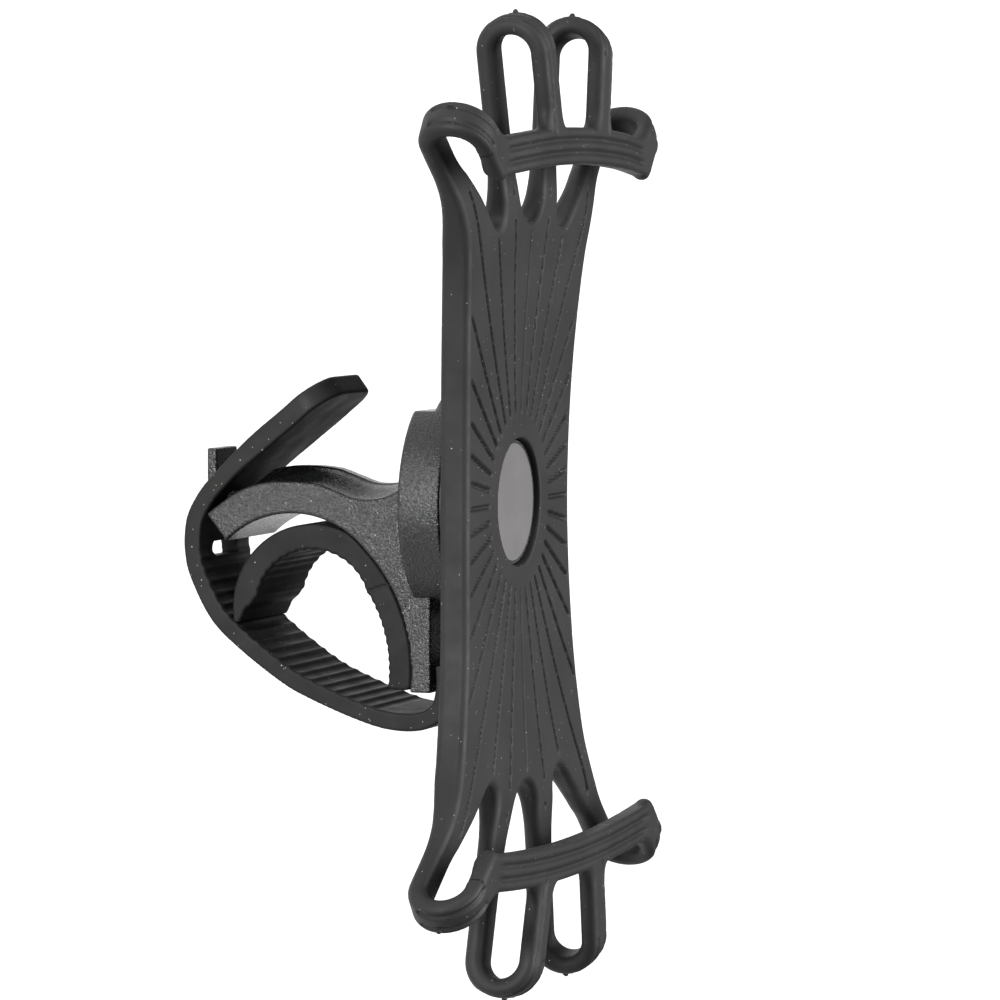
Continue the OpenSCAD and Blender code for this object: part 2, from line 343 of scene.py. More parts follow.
def slots_plan(x, y):
    """Plan distance of the three slots between the fingers at one end, negative inside a slot."""
    half = strip_half(y)
    _, mid = along_strip(x, y, MIDDLE)
    _, out = along_strip(x, y, OUTER)
    centre = corner(mid + half, SLOT_FROM - y, SLOT_ROUND)
    root = SIDE_SLOT_FROM - (x - 14) * SIDE_SLOT_SLOPE - y
    side = soft_max(soft_max(half - mid, out + half, 3.5), root, 4)
    return np.minimum(centre, side)


def back_plan(x, y):
    """Plan of the bed with its fingers and the rear legs of the loops."""
    half = strip_half(y)
    to_mid, mid = along_strip(x, y, MIDDLE)
    to_out, out = along_strip(x, y, OUTER)
    bed = np.maximum(x - BED_HALF - BED_FLARE * (y / BED_END) ** 2, y - BED_TOP)
    rear = np.maximum(np.abs(out) - STRIP_HALF, to_out + LOOP_R - LOOP_LAP)
    rear = np.maximum(rear, -35 - to_out)
    solid = soft_min(bed, rear, 5)
    middle = np.maximum(np.abs(mid) - half, to_mid + LOOP_R - LOOP_LAP)
    solid = np.minimum(solid, np.maximum(middle, -36 - to_mid))
    solid = np.maximum(solid, -slots_plan(x, y))
    return np.maximum(solid, WINDOW_R - np.hypot(x, y))


def front_plan(x, y):
    """Plan of the front legs of the loops, which run into the cross bar."""
    to_mid, mid = along_strip(x, y, MIDDLE)
    to_out, out = along_strip(x, y, OUTER)
    middle = np.maximum(np.abs(mid) - STRIP_HALF, np.maximum(to_mid + LOOP_R - LOOP_LAP, -19.5 - to_mid))
    outer = np.maximum(np.abs(out) - STRIP_HALF, np.maximum(to_out + LOOP_R - LOOP_LAP, -11.5 - to_out))
    legs = soft_min(np.minimum(middle, outer), bar_plan(x, y), 3.4)
    return soft_max(legs, out - STRIP_HALF, 0.8)


def across_bar(x, y):
    """Distance from the middle of the cross bar, positive outwards."""
    return np.hypot(x, y - BAR_Y + BAR_R) - BAR_R - BAR_DEPTH / 2


def bar_plan(x, y):
    """Plan of the curved cross bar, whose ends follow the outer strips."""
    _, out = along_strip(x, y, OUTER)
    across = across_bar(x, y)
    return corner(np.abs(across) - BAR_DEPTH / 2, soft_max(out - STRIP_HALF, x - BAR_HALF, 2.5), 1.3)


def line_cut(distance):
    """Depth of a moulded line at a distance from its middle."""
    return LINE_DEPTH * (1 - ease(distance / LINE_HALF))


def front_lines(x, y):
    """Depth of the two lines along the bar and out along the legs of the loops."""
    across = across_bar(x, y)
    on_bar = line_cut(np.abs(np.abs(across) - BAR_LINE_SIDE)) * (1 - ease((x - 29) / 4))
    lines = on_bar * (across < 2.4)
    for strip in (MIDDLE, OUTER):
        _, side = along_strip(x, y, strip)
        lines = np.maximum(lines, line_cut(np.abs(side - LINE_SIDE)) * ease((across - 1.4) / 1.5))
    return lines


def loop(x, y, z, strip):
    """The round end of one loop."""
    to_top, across = along_strip(x, y, strip)
    ring = np.hypot(np.maximum(to_top + LOOP_R, 0), z - LOOP_MID_Z)
    lines = np.maximum(line_cut(np.abs(across - LINE_SIDE)), line_cut(np.abs(across + LINE_SIDE)))
    bend = np.maximum(ring - LOOP_R + lines * (z > LOOP_MID_Z - 3), LOOP_R - STRIP_T - ring)
    round_end = corner(np.abs(across) - STRIP_HALF, bend, STRIP_RIM)
    nib = np.hypot(np.hypot(to_top, across + 1.5), z - LOOP_MID_Z) - NIB_R
    round_end = soft_min(round_end, nib, 0.15)
    return np.maximum(round_end, -LOOP_R - 0.8 - to_top)


def web(x, y, z):
    """Signed distance of one half of the web, without its radial grooves."""
    x = np.abs(x)
    z = z + lean_back(x, y)
    rim = SHOULDER + (STRIP_RIM - SHOULDER) * ease((y - 40) / 10)
    rim = np.where(np.hypot(x, y) < 15, WINDOW_RIM, rim)
    back = slab(back_plan(x, y), z, bed_back(y), bed_front(y), rim, rim)
    top = LOOP_MID_Z + LOOP_R
    front = slab(front_plan(x, y), z, top - STRIP_T, top - front_lines(x, y), STRIP_RIM, STRIP_RIM)
    bar = slab(bar_plan(x, y), z, top - STRIP_T - 0.3, top - front_lines(x, y), 0.8, 0.8)
    loops = np.minimum(loop(x, y, z, MIDDLE), loop(x, y, z, OUTER))
    return np.minimum(np.minimum(back, front), np.minimum(bar, loops))


def groove_lines():
    """Angle and far end of each radial groove over one half of the bed."""
    lines = []
    for i in range(GROOVES // 2 + 1):
        angle = 2 * math.pi * i / GROOVES
        c, s = math.cos(angle), math.sin(angle)
        radii = np.arange(GROOVE_START, 60, 0.25)
        x, y = np.abs(c) * radii, s * radii
        inside = back_plan(x, y) < -GROOVE_MARGIN
        inside &= y < BED_TOP
        end = radii[np.argmin(inside)] if not inside.all() else radii[-1]
        lines.append((angle, float(end)))
    return lines


def groove_depth(x, y, lines):
    """Depth of the radial grooves at points of the bed."""
    depth = np.zeros_like(x)
    for angle, end in lines:
        c, s = math.cos(angle), math.sin(angle)
        along, across = x * c + y * s, np.abs(y * c - x * s)
        fade = ease((along - GROOVE_START) / 0.8) * ease((end - along) / 1.2)
        depth = np.maximum(depth, GROOVE_DEPTH * np.clip(1 - across / GROOVE_HALF, 0, 1) * fade)
    return depth


def cut_line(bm, point, normal, faces):
    """Cuts some faces along a plane and returns all the faces they became."""
    around = set(faces)
    for f in faces:
        around.update(f.edges)
        around.update(f.verts)
    cut = bmesh.ops.bisect_plane(bm, geom=list(around), plane_co=point, plane_no=normal, dist=1e-4)
    return {f for f in cut["geom"] if isinstance(f, bmesh.types.BMFace)}


def on_bed_front(place):
    """True for a place on the bed's front face."""
    return abs(place.z - bed_front(place.y)) < 0.3


def score_grooves(bm, lines):
    """Cuts the edges and the middle of every radial groove into the bed's front."""
    bed = {f for f in bm.faces if f.normal.z > 0.5 and on_bed_front(f.verts[0].co)}
    for angle, end in lines:
        c, s = math.cos(angle), math.sin(angle)

        def on_line(p):
            """True for a place within a millimetre of this groove."""
            along, across = p.x * c + p.y * s, p.y * c - p.x * s
            return abs(across) < 1 and GROOVE_START - 0.6 < along < end + 0.6

        near = {f for f in bed if on_line(f.calc_center_median())}
        for side in (-GROOVE_HALF, 0, GROOVE_HALF):
            near = cut_line(bm, (-s * side, c * side, 0), (-s, c, 0), near)
            bed |= near


def closed_half(points, faces):
    """The web's upper half as a mesh to edit, cut off at the spin axis and closed there."""
    bm = bmesh.new()
    for p in points:
        bm.verts.new(p)
    bm.verts.ensure_lookup_table()
    for f in faces:
        bm.faces.new([bm.verts[i] for i in f])
    bm.normal_update()
    whole = bm.verts[:] + bm.edges[:] + bm.faces[:]
    cut = bmesh.ops.bisect_plane(bm, geom=whole, plane_co=(0, 0, 0), plane_no=(0, 1, 0), clear_inner=True)
    rim = [e for e in cut["geom_cut"] if isinstance(e, bmesh.types.BMEdge)]
    bmesh.ops.holes_fill(bm, edges=rim, sides=0)
    return bm


def web_half():
    """Points, faces and normals of the web's upper half, with its radial grooves."""
    bm = closed_half(*mesh_of(web, (0, -1.2, -6), (47, 75, 12), WEB_STEP))
    lines = groove_lines()
    score_grooves(bm, lines)
    bm.verts.index_update()
    out = np.array([v.co for v in bm.verts])
    polys = [[v.index for v in f.verts] for f in bm.faces]
    bm.free()
    normals = normals_of(out, web)
    front = (normals[:, 2] > 0.5) & (out[:, 1] < 48) & (out[:, 2] < 2.2)
    depth = groove_depth(out[:, 0], out[:, 1], lines) * front
    h = 0.05
    for k, (dx, dy) in enumerate(((h, 0), (0, h))):
        more = groove_depth(out[:, 0] + dx, out[:, 1] + dy, lines)
        less = groove_depth(out[:, 0] - dx, out[:, 1] - dy, lines)
        normals[:, k] += front * (more - less) / (2 * h)
    out[:, 2] -= depth
    return out, polys, normals / np.linalg.norm(normals, axis=1, keepdims=True)


def droop(x, y):
    """How far the lower half hangs back."""
    return DROOP * ease((y - 15) / 45) - outer_drop(x, y)


def spread(y):
    """Stretch of the lower half across its width."""
    return 1 + SPREAD * ease((y - 20) / 34)


def lower_set(points, normals):
    """The lower half as it rests: bent a little towards the bar, with its fingers spread."""
    x, y, z = points.T
    wide = spread(y)
    widen = (spread(y + 0.1) - spread(y - 0.1)) / 0.2
    bend_x = (droop(x + 0.1, y) - droop(x - 0.1, y)) / 0.2
    bend_y = (droop(x, y + 0.1) - droop(x, y - 0.1)) / 0.2
    nx, ny, nz = normals.T
    turned = np.stack([nx / wide + bend_x * nz, ny - x * widen / wide * nx + bend_y * nz, nz], 1)
    return np.stack([x * wide, y, z - droop(x, y)], 1), turned / np.linalg.norm(turned, axis=1, keepdims=True)


def build_web(finish):
    """The two halves of the web, each a piece baked in place that stands for its CAD nodes."""
    points, faces, normals = web_half()
    halves = (
        ("web_upper", 1, "upper_web", ("upper_fingers", "upper_grip", "web_bed")),
        ("web_lower", -1, "lower_web", ("lower_fingers", "lower_grip")),
    )
    for name, turn, body, nodes in halves:
        if turn < 0:
            points, normals = lower_set(points, normals)
        piece = piece_from(name, points, faces, normals, (0, SPIN_Y, WEB_Z), turn)
        piece.data.materials.append(finish)
        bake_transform(piece)
        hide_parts(*nodes)


# ---------------------------------------------------------------- saddle bracket

CLAMP_STEP = 0.35
CLAMP_HALF = 10.0
EDGE_R = 0.45
ARC_A = (-0.8, -3.2)
ARC_A_R = 15.2
ARC_B = (-8.7, -9.5)
ARC_B_R = 25.2
CROWN_RISE = 1.95
CROWN_TIP_Z = -13.2
ARM_FRONT_Z = 17.0
NECK_Y = 2.5
NECK_LEAN = 0.08
HUB_R = 17.3
HUB_FLAT = 13.8
HUB_BACK = 16.1
FLAT_TOP = 19.4
CUP_RIM = 22.6
CUP_R = 12.6
CUP_FLOOR = 18.4
BOSS_R = 5.0
BOSS_TOP = 20.4
BALL_RING_R = 9.5
SEAT_TOP = 20.6
INSERT_R = 3.0
INSERT_FLOOR = 15.0
RAIL_Z = 18.8
RAIL_MID = 7.55
RAIL_HALF = 2.55
CHANNEL_HALF = 5.0
CHANNEL_FLOOR = 16.4
TONGUE_END = -7.1
TONGUE_FLOOR = 13.0
LEG_TIP = -11.8
PIN_R = 0.9
PIN_WALL = 1.2
ARM_TOP = [
    (11.5, -20), (14.1, -17.0), (17.5, -12.1), (18.9, -8), (19.2, -3.5), (18.9, 0.5), (17.9, 3.6),
    (16.9, 6.6), (16.8, 9.2), (17.3, 11.6), (18.6, 14), (20.4, 16), (20.6, 19),
]
ARM_TIP = (14.2, -17.2)
ARM_TIP_OUT = (-0.613, -0.79)
RAIL_POINTS = [(3.2, 15.9), (3.2, RAIL_Z), (LEG_TIP, RAIL_Z), (LEG_TIP, 15.6), (0, 13.6)]
HOOK_POINTS = [
    (12.6, -15.6), (14.4, -14.4), (17.6, -17.7), (23.6, -17.7), (23.6, -19.3), (16.9, -19.3), (13.6, -17),
]
HOOK_HALF = 4.2


def smooth_route(points, steps):
    """Points along a smooth curve through the given ones."""
    p = np.array([points[0]] + points + [points[-1]], float)
    out = []
    for a, b, c, d in zip(p, p[1:], p[2:], p[3:]):
        square, cube = 2 * a - 5 * b + 4 * c - d, 3 * b - a - 3 * c + d
        for t in np.arange(steps) / steps:
            out.append(0.5 * (2 * b + (c - a) * t + square * t**2 + cube * t**3))
    return np.array(out + [p[-1]])


ARM_LINE = smooth_route(ARM_TOP, 12)
ARM_SLOPE = np.gradient(ARM_LINE[:, 0], ARM_LINE[:, 1])


def saddle_space(y, z):
    """Distance of the space inside the saddle, negative inside."""
    reach = math.dist(ARC_A, ARC_B)
    ny, nz = -(ARC_A[1] - ARC_B[1]) / reach, (ARC_A[0] - ARC_B[0]) / reach
    tight = np.hypot(y - ARC_A[0], z - ARC_A[1]) - ARC_A_R
    slack = np.hypot(y - ARC_B[0], z - ARC_B[1]) - ARC_B_R
    side = -((y - ARC_B[0]) * ny + (z - ARC_B[1]) * nz)
    return np.minimum(tight, np.maximum(slack, side))


def crown(x, z):
    """Rise of the arm's top from its edges to the rib along its middle."""
    across = 0.87 * (1 - ease((x - 1.4) / 6.8)) + 0.13 * (1 - ease((x - 1.1) / 0.5))
    return CROWN_RISE * across * ease((z - CROWN_TIP_Z) / 4)


def arm(x, y, z):
    """The arm, its shoulder and the leg, full width."""
    slope = np.interp(z, ARM_LINE[:, 1], ARM_SLOPE)
    top = (y - crown(x, z) - np.interp(z, ARM_LINE[:, 1], ARM_LINE[:, 0])) / np.sqrt(1 + slope * slope)
    tip = (y - ARM_TIP[0]) * ARM_TIP_OUT[0] + (z - ARM_TIP[1]) * ARM_TIP_OUT[1]
    front = z - np.where(y > NECK_Y, ARM_FRONT_Z, HUB_BACK + NECK_LEAN * (NECK_Y - y))
    solid = corner(top, tip, 0.25)
    solid = np.maximum(solid, np.maximum(front, LEG_TIP - y))
    return np.maximum(solid, -saddle_space(y, z))


def hub(radius, y, z):
    """The round hub, with two flats behind it."""
    flats = np.maximum(radius - HUB_R, np.abs(y - SPIN_Y) - HUB_FLAT)
    lower = slab(flats, z, HUB_BACK, FLAT_TOP + 1, 0.5, 0.1)
    upper = slab(radius - HUB_R, z, FLAT_TOP, CUP_RIM, 0.4, 0.25)
    return np.minimum(lower, upper)


def hub_hollow(radius, z):
    """The cup inside the hub, around the insert's boss and the balls' seat, and the insert's bore."""
    cup = np.maximum(radius - CUP_R, CUP_FLOOR - z)
    cup = np.maximum(cup, -np.maximum(radius - BOSS_R, z - BOSS_TOP))
    cup = np.maximum(cup, -np.maximum(np.abs(radius - BALL_RING_R) - 2, z - SEAT_TOP))
    return np.minimum(cup, np.maximum(radius - INSERT_R, INSERT_FLOOR - z))


def strap_channel(x, y, z):
    """The channel between the rails, where the strap's tongue swings, and the pin's bore."""
    side = x - CHANNEL_HALF
    channel = np.maximum(np.maximum(side, CHANNEL_FLOOR - z), np.maximum(y + 1, LEG_TIP - 1 - y))
    channel = np.minimum(channel, np.maximum(np.maximum(side, TONGUE_FLOOR - z), y - TONGUE_END))
    bore = np.hypot(y - PIN[0], z - PIN[1]) - PIN_R
    return np.minimum(channel, np.maximum(bore, x - CLAMP_HALF + PIN_WALL))


def bracket(x, y, z):
    """Signed distance of the saddle bracket."""
    x = np.abs(x)
    solid = corner(arm(x, y, z), x - CLAMP_HALF, EDGE_R)
    rails = corner(polygon(y, z, RAIL_POINTS), np.abs(x - RAIL_MID) - RAIL_HALF, 0.3)
    rails = np.maximum(rails, -saddle_space(y, z))
    hook = corner(polygon(y, z, HOOK_POINTS), x - HOOK_HALF, 0.35)
    radius = np.hypot(x, y - SPIN_Y)
    solid = np.minimum(np.minimum(solid, rails), np.minimum(hook, hub(radius, y, z)))
    return np.maximum(solid, -np.minimum(hub_hollow(radius, z), strap_channel(x, y, z)))


# ---------------------------------------------------------------- liner

LINER_R = 9.0
LINER_T = 3.9
LINER_END = math.radians(-101)
LINER_PITCH = 1.5
LINER_TOOTH = 0.16
LINER_THIN = 2.6
LINER_TAPER = 0.42
SEAT_SIDE = [(0, 0), (9.3, 27), (60, 27), (60, -40), (-6, -30)]
TAIL_SIDE = [(0, 0), (9.3, 27), (-30, 27), (-30, 0)]


def teeth(length, pitch):
    """Height of a row of round teeth, from 0 in the grooves to 1 on the tops."""
    return 0.5 + 0.5 * np.cos(2 * math.pi * length / pitch)


def liner_seat(y, z, r):
    """The round part that holds the bar, with a thinner free end."""
    angle = np.arctan2(z, y)
    thin = LINER_THIN * ease((LINER_END + LINER_TAPER - angle) / LINER_TAPER)
    inner = LINER_R + LINER_TOOTH * (1 - teeth(angle * LINER_R, LINER_PITCH)) + thin
    ring = np.maximum(r - LINER_R - LINER_T, inner - r)
    past_end = r * np.sin(np.clip(LINER_END - angle, -math.pi / 2, math.pi / 2))
    past_end = np.where(angle > math.radians(120), 9.0, past_end)
    return corner(np.maximum(ring, polygon(y, z, SEAT_SIDE)), past_end, 0.6)


def liner_tail(y, z, r):
    """The flatter part that runs on along the leg."""
    far = np.hypot(y - ARC_B[0], z - ARC_B[1])
    run = np.arctan2(z - ARC_B[1], y - ARC_B[0]) * ARC_B_R
    inner = ARC_B_R - LINER_T + 0.2 + LINER_TOOTH * (1 - teeth(run, LINER_PITCH))
    leg = np.maximum(np.maximum(far - ARC_B_R, inner - far), LINER_R - r)
    return corner(np.maximum(leg, polygon(y, z, TAIL_SIDE)), LEG_TIP + 0.3 - y, 0.8)


def liner(x, y, z):
    """Signed distance of the rubber liner."""
    x = np.abs(x)
    r = np.hypot(y, z)
    both = soft_min(liner_seat(y, z, r), liner_tail(y, z, r), 0.5)
    return corner(np.maximum(both, saddle_space(y, z) + 0.02), x - CLAMP_HALF + 0.05, 0.5)


# ---------------------------------------------------------------- strap

STRAP_T = 2.7
STRAP_PATH = [
    (33.8, 2.1), (31, -1.7), (28.8, -4.3), (24.5, -9.55), (18.7, -15.4), (16.3, -17.4), (13.6, -18.85),
    (11.3, -19.3), (8.5, -19.3), (5, -18.5), (-1, -15.3), (-5.3, -10.7), (-9.9, -4.2), (-12.1, 0.2),
    (-14.6, 6.6), (-16.1, 12), (-16.1, 16.9), (-14.4, 19.9), (-11, 20.9), (-7.6, 20.8),
]
TAIL_EXTRA = 0.5
HOOK_SLOT = (16.0, -17.3, math.radians(40), 2.4)
SPARE_SLOT = (8.4, -19.3, math.radians(178), 1.1)
SLOT_HALF = 4.8
TONGUE_HALF = 4.6
EYE_R = 1.6
TOOTH_PITCH = 2.1
TOOTH_RISE = 0.35
TEETH_FROM = 33.0
TEETH_TO = 76.0
ROOT_TOP_Z = 20.5
ROOT_FREE_Z = 4.2


ROUTE = smooth_route(STRAP_PATH, 5)


def route_place(y, z):
    """Signed distance from the strap's middle line, positive inside the loop, and length along it."""
    shape = np.broadcast(y, z).shape
    best, side, run = np.full(shape, 1e9), np.zeros(shape), np.zeros(shape)
    so_far = 0.0
    last = len(ROUTE) - 2
    for i, (a, b) in enumerate(zip(ROUTE, ROUTE[1:])):
        e = b - a
        size = float(np.hypot(*e))
        t = ((y - a[0]) * e[0] + (z - a[1]) * e[1]) / size**2
        t = np.clip(t, -9 if i == 0 else 0, 9 if i == last else 1)
        dy, dz = y - a[0] - t * e[0], z - a[1] - t * e[1]
        d = dy * dy + dz * dz
        closer = d < best
        best = np.where(closer, d, best)
        side = np.where(closer, np.sign(dy * -e[1] + dz * e[0]), side)
        run = np.where(closer, so_far + t * size, run)
        so_far += size
    return -side * np.sqrt(best), run, so_far


def slot_hole(x, y, z, slot):
    """Distance of a slot through the strap, negative inside."""
    cy, cz, tilt, half = slot
    along = (y - cy) * math.cos(tilt) + (z - cz) * math.sin(tilt)
    across = (z - cz) * math.cos(tilt) - (y - cy) * math.sin(tilt)
    return np.maximum(corner(np.abs(along) - half, x - SLOT_HALF, 0.8), np.abs(across) - 4)


def strap(x, y, z):
    """Signed distance of the strap."""
    x = np.abs(x)
    off, run, total = route_place(y, z)
    toothed = ease((run - TEETH_FROM) / 2) * ease((TEETH_TO - run) / 2)
    toothed = toothed * (1 - 0.6 * ease((x - CLAMP_HALF + 1.3) / 0.8))
    inner = STRAP_T / 2 + toothed * TOOTH_RISE * (teeth(run, TOOTH_PITCH) ** 2 - 0.5)
    inner = inner + TAIL_EXTRA * ease((21 - run) / 8)
    thick = np.maximum(off - inner, -off - STRAP_T / 2)
    plan = corner(x - CLAMP_HALF, -run, 5.5)
    plan = corner(plan, run - total, 0.3)
    band = corner(plan, thick, 0.45)
    eye = np.hypot(y - PIN[0], z - PIN[1]) - EYE_R
    stem = np.maximum(np.abs(y - PIN[0]) - EYE_R, np.abs(z - PIN[1] - 1.4) - 1.4)
    band = np.minimum(band, corner(np.minimum(eye, stem), x - TONGUE_HALF, 0.3))
    holes = np.minimum(slot_hole(x, y, z, HOOK_SLOT), slot_hole(x, y, z, SPARE_SLOT))
    holes = np.minimum(holes, np.hypot(y - PIN[0], z - PIN[1]) - PIN_R - 0.05)
    return np.maximum(band, -holes)


# ---------------------------------------------------------------- materials


class Nodes:
    """A material's node tree, with short calls that add and join nodes."""

    def __init__(self, name):
        self.material = bpy.data.materials.new(name)
        self.material.use_nodes = True
        self.tree = self.material.node_tree
        self.shader = self.tree.nodes["Principled BSDF"]
        self.place = self.add("ShaderNodeTexCoord").outputs["Object"]

    def add(self, kind, **settings):
        """A new node with some settings."""
        node = self.tree.nodes.new(kind)
        for key, value in settings.items():
            setattr(node, key, value)
        return node

    def join(self, source, target):
        """Joins an output to an input."""
        self.tree.links.new(source, target)

    def noise(self, scale, detail=2.0, rough=0.5):
        """Noise at a scale in turns per metre."""
        node = self.add("ShaderNodeTexNoise")
        self.join(self.place, node.inputs["Vector"])
        node.inputs["Scale"].default_value = scale
        node.inputs["Detail"].default_value = detail
        node.inputs["Roughness"].default_value = rough
        return node.outputs["Fac"]

    def specks(self, scale, size, share):
        """1 on scattered round specks and 0 elsewhere."""
        node = self.add("ShaderNodeTexVoronoi")
        self.join(self.place, node.inputs["Vector"])
        node.inputs["Scale"].default_value = scale
        near = self.ramp(node.outputs["Distance"], size * 0.6, size, 1, 0)
        pick = self.add("ShaderNodeSeparateColor")
        self.join(node.outputs["Color"], pick.inputs["Color"])
        chosen = self.math("LESS_THAN", pick.outputs["Red"], share)
        return self.math("MULTIPLY", near, chosen)

    def ramp(self, value, low, high, out_low, out_high):
        """A clamped change of range."""
        node = self.add("ShaderNodeMapRange")
        self.join(value, node.inputs["Value"])
        for key, number in zip(("From Min", "From Max", "To Min", "To Max"), (low, high, out_low, out_high)):
            node.inputs[key].default_value = number
        return node.outputs["Result"]

    def math(self, operation, a, b):
        """One operation on two numbers or sockets."""
        node = self.add("ShaderNodeMath", operation=operation)
        for value, socket in ((a, node.inputs[0]), (b, node.inputs[1])):
            if isinstance(value, (int, float)):
                socket.default_value = value
            else:
                self.join(value, socket)
        return node.outputs["Value"]

    def mix(self, factor, a, b):
        """A colour between two colours or sockets."""
        node = self.add("ShaderNodeMix", data_type="RGBA")
        self.join(factor, node.inputs["Factor"])
        for value, socket in ((a, node.inputs["A"]), (b, node.inputs["B"])):
            if isinstance(value, tuple):
                socket.default_value = (*value, 1)
            else:
                self.join(value, socket)
        return node.outputs["Result"]

    def bump(self, height, depth, strength=1.0):
        """A bump of a depth in metres."""
        node = self.add("ShaderNodeBump")
        self.join(height, node.inputs["Height"])
        node.inputs["Distance"].default_value = depth
        node.inputs["Strength"].default_value = strength
        return node.outputs["Normal"]

    def edge_highlight(self, amount):
        """Painted highlight: 1 along outer edges, broken up by noise."""
        geometry = self.add("ShaderNodeNewGeometry")
        edge = self.ramp(geometry.outputs["Pointiness"], 0.52, 0.6, 0, amount)
        return self.math("MULTIPLY", edge, self.ramp(self.noise(700), 0.35, 0.65, 0.2, 1))


def rubber(name, dark, light, rough, dust):
    """Matte moulded rubber with a fine skin, faint mottling, scattered dust and a painted highlight along its
    outer edges.
    """
    m = Nodes(name)
    colour = m.mix(m.ramp(m.noise(90, 4), 0.35, 0.7, 0, 1), dark, light)
    lint = m.math("MAXIMUM", m.specks(900, 0.1, 0.05 * dust), m.specks(420, 0.045, 0.1 * dust))
    lint = m.math("MAXIMUM", lint, m.specks(2100, 0.16, 0.045 * dust))
    # Outer edges painted lighter: a painted highlight along them.
    colour = m.mix(m.edge_highlight(0.25), colour, tuple(min(1, c * 2.2) for c in light))
    m.join(m.mix(lint, colour, (0.42, 0.42, 0.41)), m.shader.inputs["Base Color"])
    m.join(m.ramp(m.noise(260, 3), 0.3, 0.7, rough - 0.07, rough + 0.06), m.shader.inputs["Roughness"])
    skin = m.math("ADD", m.noise(5200, 2), m.math("MULTIPLY", m.noise(600, 3), 2.0))
    m.join(m.bump(skin, 0.00004, 0.35), m.shader.inputs["Normal"])
    m.shader.inputs["Specular IOR Level"].default_value = 0.28
    return m.material


def spark_plastic(name, dark, light, rough, grain):
    """Black plastic from a spark eroded mould: a fine grain that glitters, partly through its bumps and
    partly through glints painted in as pale specks, and a painted highlight along its outer edges.
    """
    m = Nodes(name)
    coarse = m.noise(2600, 2, 0.6)
    colour = m.mix(m.ramp(m.noise(120, 4), 0.35, 0.7, 0, 1), dark, light)
    # Outer edges painted lighter: a painted highlight along them.
    colour = m.mix(m.edge_highlight(0.3), colour, tuple(min(1, c * 2.5) for c in light))
    # Pale specks mixed into the colour: painted glints.
    m.join(m.mix(m.specks(700, 0.08, 0.05), colour, (0.4, 0.4, 0.4)), m.shader.inputs["Base Color"])
    m.join(m.ramp(coarse, 0.3, 0.7, rough - 0.1, rough + 0.1), m.shader.inputs["Roughness"])
    height = m.math("ADD", coarse, m.math("MULTIPLY", m.noise(5600, 1), 0.6))
    m.join(m.bump(height, grain, 0.9), m.shader.inputs["Normal"])
    m.shader.inputs["Specular IOR Level"].default_value = 0.6
    return m.material


def smooth_plastic(name, dark, light, rough):
    """Matte plastic with a faint cloudiness and fine scratches."""
    m = Nodes(name)
    m.join(m.mix(m.ramp(m.noise(140, 4), 0.35, 0.7, 0, 1), dark, light), m.shader.inputs["Base Color"])
    m.join(m.ramp(m.noise(900, 3), 0.3, 0.7, rough - 0.06, rough + 0.06), m.shader.inputs["Roughness"])
    m.join(m.bump(m.noise(4200, 2), 0.00002, 0.4), m.shader.inputs["Normal"])
    return m.material


def metal(name, dark, light, rough):
    """Bare metal with fine turning marks and small stains."""
    m = Nodes(name)
    m.join(m.mix(m.ramp(m.noise(300, 4), 0.4, 0.7, 0, 1), dark, light), m.shader.inputs["Base Color"])
    m.join(m.ramp(m.noise(1500, 3), 0.3, 0.7, rough - 0.08, rough + 0.1), m.shader.inputs["Roughness"])
    m.join(m.bump(m.noise(6000, 2), 0.00001, 0.4), m.shader.inputs["Normal"])
    m.shader.inputs["Metallic"].default_value = 1.0
    return m.material


WEB_RUBBER = rubber("web_silicone", (0.014, 0.0135, 0.014), (0.021, 0.0205, 0.021), 0.6, 1.0)
STRAP_RUBBER = rubber("strap_rubber", (0.007, 0.0064, 0.0062), (0.011, 0.0102, 0.0098), 0.6, 0.8)
LINER_RUBBER = rubber("liner_rubber", (0.006, 0.006, 0.006), (0.009, 0.0088, 0.009), 0.65, 0.5)
BRACKET_PLASTIC = spark_plastic(
    "bracket_plastic", (0.006, 0.0064, 0.0068), (0.010, 0.0106, 0.011), 0.27, 0.00013
)
PLATE_PLASTIC = spark_plastic("plate_plastic", (0.012, 0.012, 0.013), (0.02, 0.02, 0.021), 0.45, 0.0001)
CAP_PLASTIC = smooth_plastic("cap_plastic", (0.118, 0.111, 0.115), (0.136, 0.129, 0.133), 0.6)
STEEL = metal("steel", (0.42, 0.42, 0.43), (0.62, 0.62, 0.63), 0.32)
SPRING_STEEL = metal("spring_steel", (0.35, 0.35, 0.36), (0.55, 0.55, 0.56), 0.36)
BRASS = metal("brass", (0.55, 0.38, 0.14), (0.72, 0.52, 0.22), 0.34)
DARK_ACETAL = smooth_plastic("acetal", (0.014, 0.014, 0.014), (0.02, 0.02, 0.02), 0.42)
NODE_FINISH = {
    "centre_cap": CAP_PLASTIC,
    "back_plate": PLATE_PLASTIC,
    "glide_ring": DARK_ACETAL,
    "threaded_insert": BRASS,
    "wave_washer": SPRING_STEEL,
    "detent_springs": SPRING_STEEL,
}


def dress_cad_nodes():
    """Gives every CAD node that shows its finish."""
    for name, node in frame["nodes"].items():
        if node.hide_render:
            continue
        node.data.materials.clear()
        node.data.materials.append(NODE_FINISH.get(name, STEEL))


# ---------------------------------------------------------------- stage

CAMERA_AT = (-0.8161, 0.0679, 0.3131)
CAMERA_RIGHT = (0.3319, 0.0027, 0.9433)
CAMERA_DOWN = (-0.055, -0.9982, 0.0222)
CAMERA_FORWARD = (0.9417, -0.0593, -0.3311)
CAMERA_LENS = 209.3
FLOOR_DROP = 0.13
ROOM_STRENGTH = 0.17
OBJECT_MIDDLE = (0, 0.0163, 0.01)


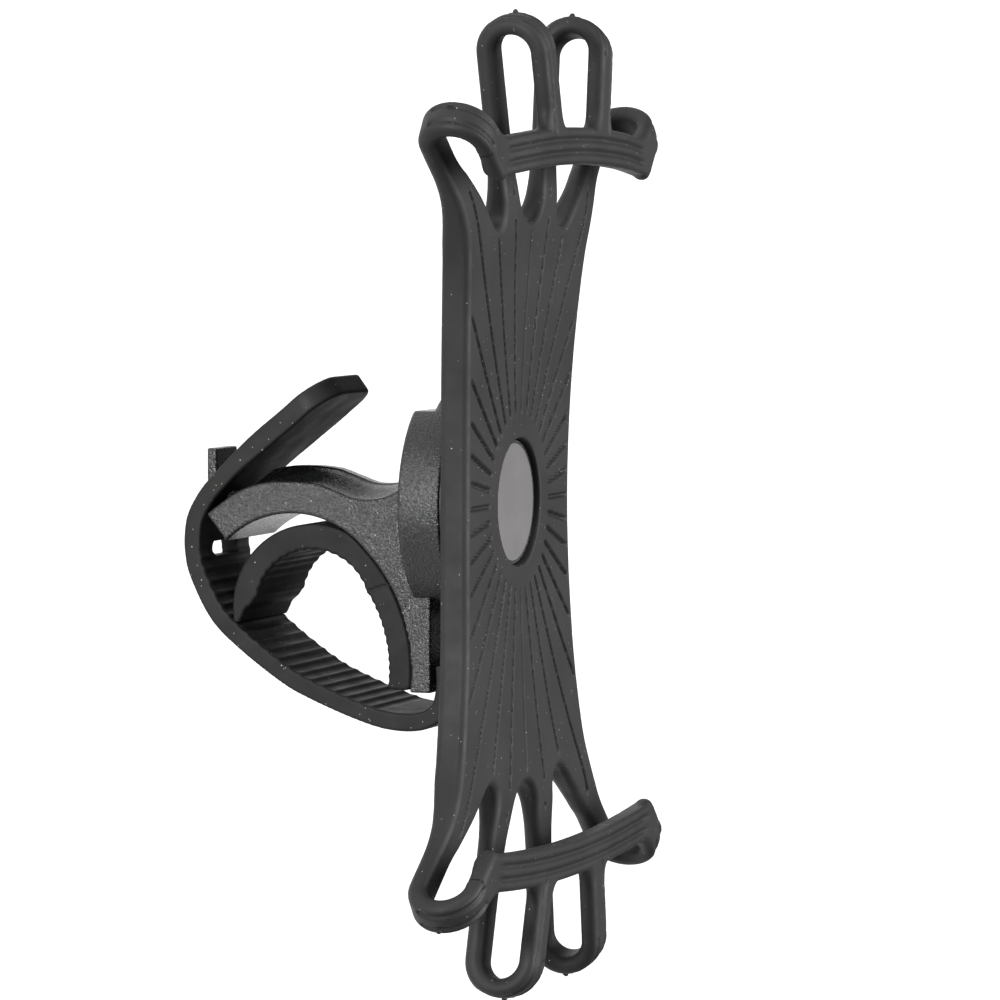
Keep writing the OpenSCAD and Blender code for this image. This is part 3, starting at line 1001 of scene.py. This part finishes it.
def add_camera():
    """The camera at the viewing angle of the object's side and a little of its front."""
    data = bpy.data.cameras.new("camera")
    data.lens = CAMERA_LENS
    data.sensor_width = 36
    data.clip_start = 0.01
    camera = bpy.data.objects.new("camera", data)
    bpy.context.scene.collection.objects.link(camera)
    right, down, forward = Vector(CAMERA_RIGHT), Vector(CAMERA_DOWN), Vector(CAMERA_FORWARD)
    turn = Matrix((right, -down, -forward)).transposed().to_4x4()
    camera.matrix_world = Matrix.Translation(CAMERA_AT) @ turn
    bpy.context.scene.camera = camera


def add_floor():
    """A plain pale floor some way under the strap."""
    low, _ = cad_box
    bpy.ops.mesh.primitive_plane_add(size=12, location=(0, 0, low.z - FLOOR_DROP))
    floor = bpy.context.object
    floor.name = "floor"
    m = Nodes("floor_paint")
    colour = m.mix(m.ramp(m.noise(3, 3), 0.3, 0.7, 0, 1), (0.86, 0.86, 0.86), (0.9, 0.9, 0.9))
    m.join(colour, m.shader.inputs["Base Color"])
    m.shader.inputs["Roughness"].default_value = 0.7
    floor.data.materials.append(m.material)


def add_light(name, at, size, power, aim=OBJECT_MIDDLE, cone=None):
    """A soft light that faces the object: a square, or a spot where a cone's angle is given."""
    data = bpy.data.lights.new(name, "SPOT" if cone else "AREA")
    if cone:
        data.spot_size = math.radians(cone)
        data.spot_blend = 0.7
        data.shadow_soft_size = size
    else:
        data.shape = "SQUARE"
        data.size = size
    data.energy = power
    light = bpy.data.objects.new(name, data)
    bpy.context.scene.collection.objects.link(light)
    light.location = at
    light.visible_camera = False
    light.rotation_mode = "QUATERNION"
    light.rotation_quaternion = (Vector(aim) - Vector(at)).to_track_quat("-Z", "Y")


def add_world():
    """An even white room."""
    world = bpy.data.worlds.new("room")
    world.use_nodes = True
    inputs = world.node_tree.nodes["Background"].inputs
    inputs["Color"].default_value = (1, 1, 1, 1)
    inputs["Strength"].default_value = ROOM_STRENGTH
    bpy.context.scene.world = world


def add_lights():
    """A wide soft light overhead, a low one beside the bar's end and a small one above."""
    add_light("key_light", (0.6, 0.3, 2.2), 2.0, 95, (0.5, 0.1, 0))
    add_light("side_light", (-0.9, 0.16, -0.03), 0.06, 26, cone=22)
    add_light("top_light", (-0.45, 0.8, 0.22), 0.08, 14, cone=22)
    bpy.context.scene.view_settings.view_transform = "Standard"


def build_clamp():
    """The bracket, its liner and the strap."""
    body_piece("bracket", "clamp", "saddle_bracket", bracket, (0, -13, -21), (18.2, 35, 24), CLAMP_STEP,
               BRACKET_PLASTIC)
    body_piece("liner", "clamp", "liner_pad", liner, (0, -13, -15), (11, 14, 17), CLAMP_STEP,
               LINER_RUBBER)
    body_piece("toothed_strap", "strap_body", "strap", strap, (0, -19, -23), (11, 37, 24), CLAMP_STEP,
               STRAP_RUBBER, root=("clamp", ROOT_TOP_Z, ROOT_FREE_Z))


add_camera()
add_world()
add_lights()
add_floor()
build_web(WEB_RUBBER)
build_clamp()
dress_cad_nodes()
